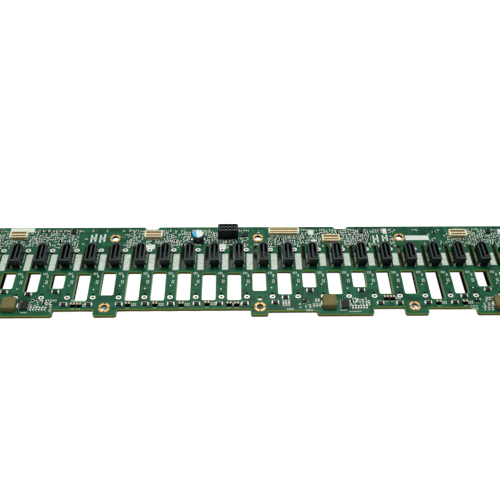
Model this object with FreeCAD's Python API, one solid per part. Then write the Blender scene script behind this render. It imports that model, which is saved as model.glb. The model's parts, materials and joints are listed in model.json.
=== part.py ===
import FreeCAD, Part
import math
import os

# Drive backplane board for a two-unit storage server with twenty-four upright drives.
#
# The board lies flat with its system side up and stands on the mating faces of its
# drive receptacles, which are soldered to the hidden side. Every piece is worked out
# from the bay pitch: each bay has one signal header on top and one drive receptacle
# below, and between two bays the board has an air window and a narrow slot.
#
# Frame: millimetres, X along the row of bays, +Y towards the edge with the power
# header, +Z up. The origin is the middle of the board's outline, on the plane that
# the receptacles stand on.

# ---- driving dimensions --------------------------------------------------------

BAY_COUNT = 24
BAY_PITCH = 17.6

BOARD_LENGTH = 430.0
BOARD_DEPTH = 82.0
BOARD_THICKNESS = 2.4
RECEPTACLE_HEIGHT = 9.0
BOARD_BOTTOM = RECEPTACLE_HEIGHT
BOARD_TOP = BOARD_BOTTOM + BOARD_THICKNESS

# Near edge: the tabs reach the full depth and the recesses between them stop short.
# Each recess has its left end, its right end and its depth.
TAB_CORNER = 1.8
RECESS_CORNER = 1.0
RECESS_DEPTH = 5.2
SHALLOW_RECESS_DEPTH = 3.2
DEEP_NOTCH_DEPTH = 5.8
NEAR_RECESSES = (
    (-140.0, -112.8, RECESS_DEPTH),
    (-96.9, -6.4, RECESS_DEPTH),
    (5.6, 38.6, SHALLOW_RECESS_DEPTH),
    (77.2, 98.6, DEEP_NOTCH_DEPTH),
    (114.6, 147.6, RECESS_DEPTH),
)

# Far edge: two small notches with sloping corners.
EDGE_NOTCH_CENTRES = (-79.0, 62.1)
EDGE_NOTCH_WIDTH = 9.4
EDGE_NOTCH_DEPTH = 2.2
EDGE_NOTCH_SLOPE = 1.2

# Screw holes stand on every sixth gap between bays, in two rows.
SCREW_HOLE_DIAMETER = 5.0
SCREW_HOLE_COLUMNS = (-6, 0, 6)
SCREW_ROW_SPACING = 64.0
NEAR_SCREW_ROW = -34.2
FAR_SCREW_ROW = NEAR_SCREW_ROW + SCREW_ROW_SPACING
LOCATING_HOLE_DIAMETER = 3.7
LOCATING_HOLE_Y = -27.0

# Air windows, one on each gap, in four lengths that make room for the small parts.
WINDOW_WIDTH = 9.4
WINDOW_CORNER = 1.2
WINDOW_FAR_EDGE = -2.8
SET_BACK_FAR_EDGE = -4.2
SET_BACK_GAPS = (-8, -7, -2, -1)
LONG_WINDOW_EDGE = -28.2
MIDDLE_WINDOW_EDGE = -23.5
HALF_WINDOW_EDGE = -20.3
SHORT_WINDOW_EDGE = -17.4
LONG_WINDOW_GAPS = (-7, -5, -4, -3, -2, -1, 7)
MIDDLE_WINDOW_GAPS = (-6, 1, 3, 5, 6, 8)
HALF_WINDOW_GAPS = (-9, 0)

# Slots, one on each gap, level with the headers, with their end corners cut off.
SLOT_WIDTH = 2.5
SLOT_END_CUT = 0.75
SLOT_NEAR_END = 0.5
SLOT_FAR_END = 21.7
SLOT_SHIFT = -2.2

# Signal header: an upright housing with an L-shaped tongue in a deep recess. Two notches
# low on its near end leave room for the solder tabs.
HEADER_LENGTH = 17.0
HEADER_WIDTH = 6.9
HEADER_HEIGHT = 8.0
HEADER_SHIFT = -5.3
HEADER_Y = 10.0
HEADER_END_CHAMFER = 2.1
HEADER_WALL = 0.9
HEADER_END_WALL = 1.3
HEADER_FLOOR = 1.6
TAB_NOTCH_WIDTH = 0.9
TAB_NOTCH_LENGTH = 1.0
TAB_NOTCH_HEIGHT = 3.2
TONGUE_THICKNESS = 1.0
TONGUE_LENGTH = 12.6
TONGUE_FOOT_LENGTH = 2.6
TONGUE_DROP = 0.35

# Drive receptacle: a long housing that takes the drive's L-keyed blade.
RECEPTACLE_LENGTH = 47.6
RECEPTACLE_WIDTH = 5.8
RECEPTACLE_Y = -3.75
RECEPTACLE_LEAD_IN = 0.6
BASE_FLANGE_HEIGHT = 2.2
BASE_FLANGE_INSET = 0.5
BLADE_CAVITY_LENGTH = 33.4
BLADE_CAVITY_WIDTH = 2.3
BLADE_CAVITY_DEPTH = 6.2
KEY_RIB_LENGTH = 1.5
KEY_RIB_PLACE = 5.6
KEY_STEP_DEPTH = 3.0
KEY_STEP_WIDTH = 0.8
GUIDE_POCKET_LENGTH = 3.2
GUIDE_POCKET_WIDTH = 3.4
GUIDE_POCKET_DEPTH = 6.6
GUIDE_POCKET_PLACE = 20.3

# Power header: two rows of four cells.
POWER_LENGTH = 15.0
POWER_WIDTH = 6.8
POWER_HEIGHT = 9.1
POWER_CENTRE = (-22.1, 32.3)
POWER_COLUMNS = 4
POWER_ROWS = 2
POWER_PITCH = 3.0
POWER_CELL = 2.5
POWER_CELL_DEPTH = 7.6
POWER_CORNER = 1.0
POWER_PIN_SIZE = 0.8
POWER_PIN_HEIGHT = 6.4
LATCH_WIDTH = 3.2
LATCH_REACH = 0.9
LATCH_HEIGHT = 2.4

# Mezzanine receptacles: a rim round a groove, with a rail down the middle.
SMALL_MEZZANINE = (13.2, 6.2, 3.2)
LARGE_MEZZANINE = (22.8, 5.6, 2.7)
MEZZANINES = (
    ((-176.3, 31.7), SMALL_MEZZANINE),
    ((-77.2, 31.7), SMALL_MEZZANINE),
    ((19.4, 35.0), LARGE_MEZZANINE),
    ((53.9, 27.2), SMALL_MEZZANINE),
    ((149.3, 31.8), SMALL_MEZZANINE),
)
MEZZANINE_END_WALL = 1.1
MEZZANINE_SIDE_WALL = 0.75
MEZZANINE_RAIL_WIDTH = 1.0
MEZZANINE_RAIL_DROP = 0.3
MEZZANINE_FLOOR = 0.7
MEZZANINE_CORNER = 0.6

# Power inductors: a pressed block with cut corners and a well rounded top edge.
INDUCTOR_CENTRES = ((-169.1, -32.6), (47.2, -31.9), (164.6, -33.0))
INDUCTOR_LENGTH = 9.6
INDUCTOR_WIDTH = 9.6
INDUCTOR_HEIGHT = 4.7
INDUCTOR_CORNER = 1.0
INDUCTOR_EDGE = 0.9
INDUCTOR_EDGE_STEPS = 3

# Polymer capacitor: a round can on a square base with two cut corners.
CAPACITOR_CENTRE = (-44.1, 28.3)
CAN_DIAMETER = 8.0
CAN_HEIGHT = 6.7
CAN_BASE_SIZE = 8.3
CAN_BASE_HEIGHT = 1.1
CAN_BASE_CUT = 1.6
CAN_NECK_DEPTH = 0.35
CAN_NECK_HEIGHT = 0.9
CAN_SHOULDER = 0.5

# Chip packages: centre, length along X, width along Y and height.
CHIP_PACKAGES = (
    ((-137.1, 36.7), 3.8, 5.2, 1.4),
    ((-10.0, 32.3), 4.9, 3.9, 1.5),
    ((-159.5, -32.4), 5.7, 7.0, 1.3),
    ((58.1, -32.6), 5.7, 7.0, 1.3),
    ((30.5, -29.9), 3.3, 2.6, 1.5),
    ((77.5, 36.0), 3.5, 4.2, 1.5),
    ((149.0, -30.4), 3.2, 2.6, 1.6),
    ((173.2, 35.4), 3.6, 4.2, 1.5),
)
CHIP_STANDOFF = 0.1
CHIP_DRAFT = 0.15


# ---- shared shapes -------------------------------------------------------------


def block(length, width, height, centre=(0.0, 0.0), base=0.0):
    """A box centred on a point of the XY plane, standing on a height."""
    corner = FreeCAD.Vector(centre[0] - length / 2, centre[1] - width / 2, base)
    return Part.makeBox(length, width, height, corner)


def outline(points):
    """A closed wire through (x, y, corner radius) points, with the corners as arcs."""
    edges = []
    starts = []
    ends = []
    count = len(points)
    for index, (x, y, radius) in enumerate(points):
        corner = FreeCAD.Vector(x, y, 0)
        before = FreeCAD.Vector(*points[index - 1][:2], 0) - corner
        after = FreeCAD.Vector(*points[(index + 1) % count][:2], 0) - corner
        before.normalize()
        after.normalize()
        if radius == 0:
            starts.append(corner)
            ends.append(corner)
            continue
        half_angle = before.getAngle(after) / 2
        reach = radius / math.tan(half_angle)
        middle = (before + after).normalize()
        start = corner + before * reach
        end = corner + after * reach
        crown = corner + middle * (radius / math.sin(half_angle) - radius)
        edges.append(Part.Arc(start, crown, end).toShape())
        starts.append(start)
        ends.append(end)
    for index in range(count):
        start = ends[index]
        end = starts[(index + 1) % count]
        if start.distanceToPoint(end) > 1e-6:
            edges.append(Part.makeLine(start, end))
    return Part.Wire(Part.__sortEdges__(edges))


def rectangle(x_low, x_high, y_low, y_high, radius=0.0):
    """A closed rectangular wire with equal corner radii."""
    corners = ((x_low, y_low), (x_high, y_low), (x_high, y_high), (x_low, y_high))
    return outline([(x, y, radius) for x, y in corners])


def circle(x, y, diameter):
    """A closed circular wire."""
    ring = Part.Circle(FreeCAD.Vector(x, y, 0), FreeCAD.Vector(0, 0, 1), diameter / 2)
    return Part.Wire([ring.toShape()])


def prism(points, base, height):
    """A straight-sided solid over (x, y) points."""
    corners = [FreeCAD.Vector(x, y, base) for x, y in points]
    face = Part.Face(Part.makePolygon(corners + corners[:1]))
    return face.extrude(FreeCAD.Vector(0, 0, height))


def house(x_low, x_high, y_low, y_high, chamfer):
    """A rectangle whose two far corners are cut off, as (x, y) points."""
    return [
        (x_low, y_low),
        (x_high, y_low),
        (x_high, y_high - chamfer),
        (x_high - chamfer, y_high),
        (x_low + chamfer, y_high),
        (x_low, y_high - chamfer),
    ]


def bay_x(bay):
    """X of the middle of a bay, counted from 1 on the left."""
    return (bay - (BAY_COUNT + 1) / 2) * BAY_PITCH


def gap_x(gap):
    """X of the gap between two bays, counted from 0 in the middle of the board."""
    return gap * BAY_PITCH


def gaps():
    """Every gap between two neighbouring bays."""
    half = BAY_COUNT // 2
    return range(1 - half, half)


# ---- board ---------------------------------------------------------------------


def near_edge_points():
    """The near edge from left to right, with its recesses between the tabs."""
    near = -BOARD_DEPTH / 2
    points = [(-BOARD_LENGTH / 2, near, TAB_CORNER)]
    for left, right, depth in NEAR_RECESSES:
        points.append((left, near, TAB_CORNER))
        points.append((left, near + depth, RECESS_CORNER))
        points.append((right, near + depth, RECESS_CORNER))
        points.append((right, near, TAB_CORNER))
    points.append((BOARD_LENGTH / 2, near, TAB_CORNER))
    return points


def far_edge_points():
    """The far edge from right to left, with its two notches."""
    far = BOARD_DEPTH / 2
    points = [(BOARD_LENGTH / 2, far, TAB_CORNER)]
    for centre in sorted(EDGE_NOTCH_CENTRES, reverse=True):
        right = centre + EDGE_NOTCH_WIDTH / 2
        left = centre - EDGE_NOTCH_WIDTH / 2
        points.append((right + EDGE_NOTCH_SLOPE / 2, far, 0))
        points.append((right - EDGE_NOTCH_SLOPE / 2, far - EDGE_NOTCH_DEPTH, 0))
        points.append((left + EDGE_NOTCH_SLOPE / 2, far - EDGE_NOTCH_DEPTH, 0))
        points.append((left - EDGE_NOTCH_SLOPE / 2, far, 0))
    points.append((-BOARD_LENGTH / 2, far, TAB_CORNER))
    return points


def window_edges(gap):
    """The near and far edge of a gap's air window."""
    far = SET_BACK_FAR_EDGE if gap in SET_BACK_GAPS else WINDOW_FAR_EDGE
    if gap in LONG_WINDOW_GAPS:
        return LONG_WINDOW_EDGE, far
    if gap in MIDDLE_WINDOW_GAPS:
        return MIDDLE_WINDOW_EDGE, far
    if gap in HALF_WINDOW_GAPS:
        return HALF_WINDOW_EDGE, far
    return SHORT_WINDOW_EDGE, far


def window(gap):
    """The wire of one air window."""
    near, far = window_edges(gap)
    middle = gap_x(gap)
    half = WINDOW_WIDTH / 2
    return rectangle(middle - half, middle + half, near, far, WINDOW_CORNER)


def slot(gap):
    """The wire of one narrow slot, its ends drawn in with eight sides in all."""
    middle = gap_x(gap) + SLOT_SHIFT
    half = SLOT_WIDTH / 2
    inner = half - SLOT_END_CUT
    near = SLOT_NEAR_END
    far = SLOT_FAR_END
    corners = (
        (middle - inner, near),
        (middle + inner, near),
        (middle + half, near + SLOT_END_CUT),
        (middle + half, far - SLOT_END_CUT),
        (middle + inner, far),
        (middle - inner, far),
        (middle - half, far - SLOT_END_CUT),
        (middle - half, near + SLOT_END_CUT),
    )
    return outline([(x, y, 0) for x, y in corners])


def board():
    """The bare laminate with every hole cut through it."""
    wires = [outline(near_edge_points() + far_edge_points())]
    for gap in gaps():
        wires.append(window(gap))
        wires.append(slot(gap))
    for column in SCREW_HOLE_COLUMNS:
        for row in (NEAR_SCREW_ROW, FAR_SCREW_ROW):
            wires.append(circle(gap_x(column), row, SCREW_HOLE_DIAMETER))
    wires.append(circle(0.0, LOCATING_HOLE_Y, LOCATING_HOLE_DIAMETER))
    face = Part.makeFace(wires, "Part::FaceMakerBullseye")
    solid = face.extrude(FreeCAD.Vector(0, 0, BOARD_THICKNESS))
    solid.translate(FreeCAD.Vector(0, 0, BOARD_BOTTOM))
    return solid


# ---- signal headers ------------------------------------------------------------


def signal_header():
    """One header about its own middle, standing on zero."""
    half_width = HEADER_WIDTH / 2
    half_length = HEADER_LENGTH / 2
    body = prism(
        house(-half_width, half_width, -half_length, half_length, HEADER_END_CHAMFER),
        0.0,
        HEADER_HEIGHT,
    )
    inner_half = half_width - HEADER_WALL
    recess = prism(
        house(
            -inner_half,
            inner_half,
            -half_length + HEADER_END_WALL,
            half_length - HEADER_END_WALL,
            HEADER_END_CHAMFER - HEADER_WALL / 2,
        ),
        HEADER_FLOOR,
        HEADER_HEIGHT,
    )
    notches = [
        block(
            TAB_NOTCH_WIDTH,
            TAB_NOTCH_LENGTH,
            TAB_NOTCH_HEIGHT,
            (side * (half_width - TAB_NOTCH_WIDTH / 2), TAB_NOTCH_LENGTH / 2 - half_length),
        )
        for side in (-1, 1)
    ]
    tongue = prism(tongue_points(), HEADER_FLOOR, HEADER_HEIGHT - HEADER_FLOOR - TONGUE_DROP)
    return body.cut([recess] + notches).fuse(tongue).removeSplitter()


def tongue_points():
    """The L of the tongue: a long leaf and a short foot that turns right."""
    half = TONGUE_THICKNESS / 2
    near = -TONGUE_LENGTH / 2
    return [
        (-half, near),
        (-half + TONGUE_FOOT_LENGTH, near),
        (-half + TONGUE_FOOT_LENGTH, near + TONGUE_THICKNESS),
        (half, near + TONGUE_THICKNESS),
        (half, -near),
        (-half, -near),
    ]


# ---- drive receptacles ---------------------------------------------------------


def drive_receptacle():
    """One receptacle about its own middle, with its mating face down on zero."""
    half = RECEPTACLE_LENGTH / 2
    side = RECEPTACLE_WIDTH / 2
    waist = side - BASE_FLANGE_INSET
    shoulder = RECEPTACLE_HEIGHT - BASE_FLANGE_HEIGHT
    section = [
        (-waist + RECEPTACLE_LEAD_IN, 0.0),
        (waist - RECEPTACLE_LEAD_IN, 0.0),
        (waist, RECEPTACLE_LEAD_IN),
        (waist, shoulder),
        (side, shoulder + BASE_FLANGE_INSET),
        (side, RECEPTACLE_HEIGHT),
        (-side, RECEPTACLE_HEIGHT),
        (-side, shoulder + BASE_FLANGE_INSET),
        (-waist, shoulder),
        (-waist, RECEPTACLE_LEAD_IN),
    ]
    corners = [FreeCAD.Vector(x, -half, z) for x, z in section]
    face = Part.Face(Part.makePolygon(corners + corners[:1]))
    body = face.extrude(FreeCAD.Vector(0, RECEPTACLE_LENGTH, 0))
    return body.cut(receptacle_cavities()).removeSplitter()


def receptacle_cavities():
    """The blade cavity on both sides of the key rib, and the two guide pockets."""
    half = BLADE_CAVITY_LENGTH / 2
    lengths = (
        (-half, KEY_RIB_PLACE - KEY_RIB_LENGTH / 2),
        (KEY_RIB_PLACE + KEY_RIB_LENGTH / 2, half),
    )
    cavities = [
        block(
            BLADE_CAVITY_WIDTH,
            high - low,
            BLADE_CAVITY_DEPTH,
            (0.0, (low + high) / 2),
        )
        for low, high in lengths
    ]
    bridge = block(
        BLADE_CAVITY_WIDTH,
        BLADE_CAVITY_LENGTH,
        KEY_STEP_DEPTH,
    )
    step = block(
        KEY_STEP_WIDTH,
        KEY_RIB_LENGTH * 2,
        KEY_STEP_DEPTH,
        ((BLADE_CAVITY_WIDTH + KEY_STEP_WIDTH) / 2, KEY_RIB_PLACE),
    )
    pockets = [
        block(
            GUIDE_POCKET_WIDTH,
            GUIDE_POCKET_LENGTH,
            GUIDE_POCKET_DEPTH,
            (0.0, end * GUIDE_POCKET_PLACE),
        )
        for end in (-1, 1)
    ]
    return cavities[0].fuse([cavities[1], bridge, step] + pockets)


# ---- power header --------------------------------------------------------------


def power_cells():
    """The centre of each cell of the power header."""
    for column in range(POWER_COLUMNS):
        for row in range(POWER_ROWS):
            yield (
                POWER_CENTRE[0] + (column - (POWER_COLUMNS - 1) / 2) * POWER_PITCH,
                POWER_CENTRE[1] + (row - (POWER_ROWS - 1) / 2) * POWER_PITCH,
            )


def power_header_housing():
    """The housing with eight keyed cells and a latch ramp on its far face."""
    half_length = POWER_LENGTH / 2
    half_width = POWER_WIDTH / 2
    x, y = POWER_CENTRE
    section = [
        (x - half_length, BOARD_TOP),
        (x + half_length, BOARD_TOP),
        (x + half_length, BOARD_TOP + POWER_HEIGHT - POWER_CORNER),
        (x + half_length - POWER_CORNER, BOARD_TOP + POWER_HEIGHT),
        (x - half_length + POWER_CORNER, BOARD_TOP + POWER_HEIGHT),
        (x - half_length, BOARD_TOP + POWER_HEIGHT - POWER_CORNER),
    ]
    corners = [FreeCAD.Vector(a, y - half_width, b) for a, b in section]
    face = Part.Face(Part.makePolygon(corners + corners[:1]))
    body = face.extrude(FreeCAD.Vector(0, POWER_WIDTH, 0))
    floor = BOARD_TOP + POWER_HEIGHT - POWER_CELL_DEPTH
    cells = [block(POWER_CELL, POWER_CELL, POWER_CELL_DEPTH, centre, floor) for centre in power_cells()]
    body = body.cut(cells[0].fuse(cells[1:]))
    return body.fuse(latch_ramp(x, y + half_width)).removeSplitter()


def latch_ramp(x, y):
    """A wedge that the plug's latch rides over and hooks under."""
    top = BOARD_TOP + POWER_HEIGHT - POWER_CORNER
    profile = [
        (y, top),
        (y + LATCH_REACH, top - LATCH_HEIGHT),
        (y, top - LATCH_HEIGHT),
    ]
    corners = [FreeCAD.Vector(x - LATCH_WIDTH / 2, a, b) for a, b in profile]
    face = Part.Face(Part.makePolygon(corners + corners[:1]))
    return face.extrude(FreeCAD.Vector(LATCH_WIDTH, 0, 0))


def power_header_pins():
    """Eight square pins, one standing in each cell, with pointed tips."""
    floor = BOARD_TOP + POWER_HEIGHT - POWER_CELL_DEPTH
    tip = POWER_PIN_SIZE / 4
    pins = []
    for centre in power_cells():
        pin = block(POWER_PIN_SIZE, POWER_PIN_SIZE, POWER_PIN_HEIGHT, centre, floor)
        crown = floor + POWER_PIN_HEIGHT
        rim = [edge for edge in pin.Edges if edge.BoundBox.ZMin > crown - 1e-3]
        pins.append(pin.makeChamfer(tip, rim))
    return Part.makeCompound(pins)


# ---- mezzanine receptacles -----------------------------------------------------


def mezzanine_receptacle(centre, size):
    """A low receptacle: a rim with two cut corners, a groove and a middle rail."""
    length, width, height = size
    x, y = centre
    body = prism(
        house(
            x - length / 2,
            x + length / 2,
            y - width / 2,
            y + width / 2,
            MEZZANINE_CORNER,
        ),
        BOARD_TOP,
        height,
    )
    groove = block(
        length - 2 * MEZZANINE_END_WALL,
        width - 2 * MEZZANINE_SIDE_WALL,
        height,
        centre,
        BOARD_TOP + MEZZANINE_FLOOR,
    )
    rail = block(
        length - 2 * MEZZANINE_END_WALL,
        MEZZANINE_RAIL_WIDTH,
        height - MEZZANINE_FLOOR - MEZZANINE_RAIL_DROP,
        centre,
        BOARD_TOP + MEZZANINE_FLOOR,
    )
    return body.cut(groove).fuse(rail).removeSplitter()


# ---- power inductors, capacitor and chips --------------------------------------


def inductor_loop(centre, level, inset):
    """The eight-sided outline of an inductor, drawn in evenly at one level."""
    x, y = centre
    half_length = INDUCTOR_LENGTH / 2 - inset
    half_width = INDUCTOR_WIDTH / 2 - inset
    cut = INDUCTOR_CORNER - inset * (2 - math.sqrt(2))
    quarter = ((half_length - cut, half_width), (half_length, half_width - cut))
    points = []
    for turn_x, turn_y in ((1, 1), (1, -1), (-1, -1), (-1, 1)):
        corner = quarter if turn_x == turn_y else quarter[::-1]
        points += [FreeCAD.Vector(x + turn_x * a, y + turn_y * b, level) for a, b in corner]
    return Part.makePolygon(points + points[:1])


def power_inductors():
    """Pressed blocks with cut corners, their top edge rounded off in even steps."""
    shoulder = BOARD_TOP + INDUCTOR_HEIGHT - INDUCTOR_EDGE
    blocks = []
    for centre in INDUCTOR_CENTRES:
        loops = [inductor_loop(centre, BOARD_TOP, 0.0)]
        for step in range(INDUCTOR_EDGE_STEPS + 1):
            angle = math.pi / 2 * step / INDUCTOR_EDGE_STEPS
            level = shoulder + INDUCTOR_EDGE * math.sin(angle)
            loops.append(inductor_loop(centre, level, INDUCTOR_EDGE * (1 - math.cos(angle))))
        blocks.append(Part.makeLoft(loops, True, True))
    return Part.makeCompound(blocks)


def polymer_capacitor():
    """A can with a sloping shoulder over a narrower neck, turned as one profile."""
    x, y = CAPACITOR_CENTRE
    radius = CAN_DIAMETER / 2
    foot = CAN_BASE_HEIGHT
    neck = foot + CAN_NECK_HEIGHT
    profile = [
        (0.0, foot),
        (radius - CAN_NECK_DEPTH, foot),
        (radius - CAN_NECK_DEPTH, neck - CAN_NECK_DEPTH),
        (radius, neck),
        (radius, CAN_HEIGHT - CAN_SHOULDER),
        (radius - CAN_SHOULDER, CAN_HEIGHT),
        (0.0, CAN_HEIGHT),
    ]
    corners = [FreeCAD.Vector(r, 0, h) for r, h in profile]
    face = Part.Face(Part.makePolygon(corners + corners[:1]))
    can = face.revolve(FreeCAD.Vector(0, 0, 0), FreeCAD.Vector(0, 0, 1), 360)
    half = CAN_BASE_SIZE / 2
    base = prism(house(-half, half, -half, half, CAN_BASE_CUT), 0.0, CAN_BASE_HEIGHT)
    whole = can.fuse(base).removeSplitter()
    whole.translate(FreeCAD.Vector(x, y, BOARD_TOP))
    return whole


def chip_packages():
    """Moulded packages whose sides lean in from the lead line to the top."""
    packages = []
    for (x, y), length, width, height in CHIP_PACKAGES:
        levels = (
            (CHIP_STANDOFF, CHIP_DRAFT),
            (height * 0.5, 0.0),
            (height, CHIP_DRAFT),
        )
        loops = []
        for level, inset in levels:
            loop = rectangle(
                x - length / 2 + inset,
                x + length / 2 - inset,
                y - width / 2 + inset,
                y + width / 2 - inset,
            )
            loop.translate(FreeCAD.Vector(0, 0, BOARD_TOP + level))
            loops.append(loop)
        packages.append(Part.makeLoft(loops, True, True))
    return Part.makeCompound(packages)


# ---- assembly ------------------------------------------------------------------


def placed(shape, x, y, z):
    """A copy of a shape moved to a place."""
    copy = shape.copy()
    copy.translate(FreeCAD.Vector(x, y, z))
    return copy


def nodes():
    """Every node of the assembly by name."""
    built = {"board": board()}
    header = signal_header()
    receptacle = drive_receptacle()
    for bay in range(1, BAY_COUNT + 1):
        built[f"signal_header_{bay:02d}"] = placed(header, bay_x(bay) + HEADER_SHIFT, HEADER_Y, BOARD_TOP)
        built[f"drive_receptacle_{bay:02d}"] = placed(receptacle, bay_x(bay), RECEPTACLE_Y, 0.0)
    built["power_header_housing"] = power_header_housing()
    built["power_header_pins"] = power_header_pins()
    for number, (centre, size) in enumerate(MEZZANINES, start=1):
        built[f"mezzanine_receptacle_{number}"] = mezzanine_receptacle(centre, size)
    built["power_inductors"] = power_inductors()
    built["polymer_capacitor"] = polymer_capacitor()
    built["chip_packages"] = chip_packages()
    return built


def main():
    """Write one STEP file for each node."""
    os.makedirs("parts", exist_ok=True)
    for name, shape in nodes().items():
        shape.exportStep(os.path.join("parts", f"{name}.step"))


main()
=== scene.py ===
"""Looks of a drive backplane board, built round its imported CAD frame."""

import enum
import functools
import json
import logging
import math
import random
from collections.abc import Iterator, Sequence
from dataclasses import dataclass, field
from typing import ClassVar

import bmesh
import bpy
from mathutils import Matrix, Vector


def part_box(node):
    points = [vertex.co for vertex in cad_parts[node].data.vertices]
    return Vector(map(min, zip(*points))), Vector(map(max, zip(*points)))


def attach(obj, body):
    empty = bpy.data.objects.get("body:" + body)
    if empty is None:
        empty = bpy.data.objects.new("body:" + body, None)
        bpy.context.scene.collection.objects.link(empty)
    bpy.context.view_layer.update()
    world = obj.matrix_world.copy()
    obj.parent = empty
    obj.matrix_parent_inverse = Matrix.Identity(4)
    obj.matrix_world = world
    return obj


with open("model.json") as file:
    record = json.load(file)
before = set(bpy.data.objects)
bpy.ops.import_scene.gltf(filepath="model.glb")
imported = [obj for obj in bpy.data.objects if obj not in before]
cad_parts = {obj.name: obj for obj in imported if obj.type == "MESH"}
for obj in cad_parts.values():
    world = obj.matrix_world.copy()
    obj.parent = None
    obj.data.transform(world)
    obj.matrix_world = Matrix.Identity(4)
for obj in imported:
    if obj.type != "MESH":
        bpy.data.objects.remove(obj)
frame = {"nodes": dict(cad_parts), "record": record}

LOG = logging.getLogger("backplane")
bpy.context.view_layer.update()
MM = 0.001
MERGE = 0.001 * MM
FULL_TURN = 2 * math.pi
WHITE = (1.0, 1.0, 1.0, 1.0)

Socket = bpy.types.NodeSocket
Mesh = bmesh.types.BMesh
Inputs = dict[str | int, object]
Size = tuple[float, float, float]
Place = tuple[float, float]
Sides = tuple[float, float, float, float]


# ---- shader helpers ----


def linear(colour: str) -> Sides:
    """Turn an sRGB hex colour into linear RGBA.

    Args:
        colour: Six hex digits after a hash sign.

    Returns:
        The linear colour with an alpha of one.
    """
    channels = [int(colour[place:place + 2], 16) / 255 for place in (1, 3, 5)]
    red, green, blue = (
        value / 12.92 if value <= 0.04045 else ((value + 0.055) / 1.055) ** 2.4
        for value in channels
    )
    return red, green, blue, 1.0


@dataclass(frozen=True)
class Nodes:
    """The nodes of one material or world."""

    tree: bpy.types.NodeTree

    @functools.cached_property
    def place(self) -> Socket:
        """The place on the object, in metres."""
        return self.add("TexCoord", out="Object")

    def add(
        self, kind: str, inputs: Inputs | None = None, out: str | int = 0, **settings: object
    ) -> Socket:
        """Add one node with its settings and links.

        Args:
            kind: The node's Blender type name after "ShaderNode".
            inputs: What goes into the node, as for fill.
            out: The output that is wanted, by name or number.
            **settings: The node's own properties.

        Returns:
            The wanted output.
        """
        node = self.tree.nodes.new("ShaderNode" + kind)
        for key, value in settings.items():
            setattr(node, key, value)
        self.fill(node, inputs or {})
        return node.outputs[out]

    def fill(self, node: bpy.types.Node, inputs: Inputs) -> None:
        """Set or link a node's inputs.

        Args:
            node: The node.
            inputs: Values to set or sockets to link, by input name or number.
        """
        for key, value in inputs.items():
            if isinstance(value, Socket):
                self.tree.links.new(value, node.inputs[key])
            else:
                node.inputs[key].default_value = value


# ---- finishes ----


@dataclass(frozen=True)
class Finish:
    """A colour that drifts between two shades, with a shallow grain that breaks up the shine."""

    slot: str
    name: str
    shade: str
    other: str
    roughness: float
    metallic: float = 0.0
    ior: float = 1.5
    cloud_mm: float = 3.0
    grain_mm: float = 0.5
    grain_depth_mm: float = 0.012

    @functools.cache
    def material(self) -> bpy.types.Material:
        """Build the material on its first use.

        Returns:
            The material.
        """
        material = bpy.data.materials.new(self.name)
        material.use_nodes = True
        nodes = Nodes(material.node_tree)
        scale = 1 / (self.grain_mm * MM)
        grain = nodes.add("TexNoise", {"Vector": nodes.place, "Scale": scale, "Detail": 2.0})
        relief = {"Height": grain, "Strength": 1.0, "Distance": self.grain_depth_mm * MM}
        inputs = {
            "Base Color": self.colour(nodes),
            "Normal": nodes.add("Bump", relief),
            "Roughness": self.roughness,
            "Metallic": self.metallic,
        }
        if not self.metallic:
            inputs["IOR"] = self.ior
        nodes.fill(nodes.tree.nodes["Principled BSDF"], inputs | self.extras(nodes))
        return material

    def colour(self, nodes: Nodes) -> Socket:
        """Draw the clouded colour, with the finish's layers over it.

        Args:
            nodes: The material's nodes.

        Returns:
            The colour.
        """
        cloud = {"Scale": 1 / (self.cloud_mm * MM), "Detail": 3.0, "Roughness": 0.6}
        drift = nodes.add("TexNoise", {"Vector": nodes.place} | cloud)
        share = nodes.add("MapRange", {0: drift, "From Min": 0.35, "From Max": 0.65})
        ends = {0: share, 6: linear(self.shade), 7: linear(self.other)}
        colour = nodes.add("Mix", ends, 2, data_type="RGBA")
        for paint, share in self.layers(nodes):
            layer = {0: share, 6: colour, 7: linear(paint)}
            colour = nodes.add("Mix", layer, 2, data_type="RGBA")
        return colour

    def layers(self, nodes: Nodes) -> Iterator[tuple[str, Socket]]:
        """Yield each colour that lies over the clouds, with its share."""
        yield from ()

    def extras(self, nodes: Nodes) -> Inputs:
        """Return the shader inputs that only this finish has."""
        return {}


@dataclass(frozen=True)
class RoundedPlastic(Finish):
    """Moulded plastic with painted highlights: a paler grey on its rounded edges and on its flat
    top faces.
    """

    # The colour of the painted highlight along the rounded edges.
    edge: str = "#4e5a57"
    edge_highlight_mm: float = 0.22
    edge_highlight_share: float = 0.6
    edge_highlight_turn: Place = (0.995, 0.82)
    # The colour of the painted highlight on the flat faces near the top.
    lit_top: str = "#384543"
    lit_top_node: str = "signal_header_01"
    lit_top_mm: float = 0.5

    def layers(self, nodes: Nodes) -> Iterator[tuple[str, Socket]]:
        """Paint highlights on the rounded edges and on the flat top faces.

        Args:
            nodes: The material's nodes.

        Yields:
            Each layer's colour and share.
        """
        # Painted highlight along the edges, where the rounded normal parts from the true one.
        true = nodes.add("NewGeometry", out="True Normal")
        rounded = nodes.add("Bevel", {"Radius": self.edge_highlight_mm * MM}, samples=16)
        agree = nodes.add("VectorMath", {0: true, 1: rounded}, "Value", operation="DOT_PRODUCT")
        start, end = self.edge_highlight_turn
        span = {"From Min": start, "From Max": end, "To Max": self.edge_highlight_share}
        yield self.edge, nodes.add("MapRange", {0: agree} | span)
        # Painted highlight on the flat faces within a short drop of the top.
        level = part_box(self.lit_top_node)[1].z - self.lit_top_mm * MM
        high, flat = (
            nodes.add(
                "Math", {0: nodes.add("SeparateXYZ", {0: vector}, 2), 1: limit},
                operation="GREATER_THAN",
            )
            for vector, limit in ((nodes.place, level), (true, 0.9))
        )
        yield self.lit_top, nodes.add("Math", {0: high, 1: flat}, operation="MULTIPLY")


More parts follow.
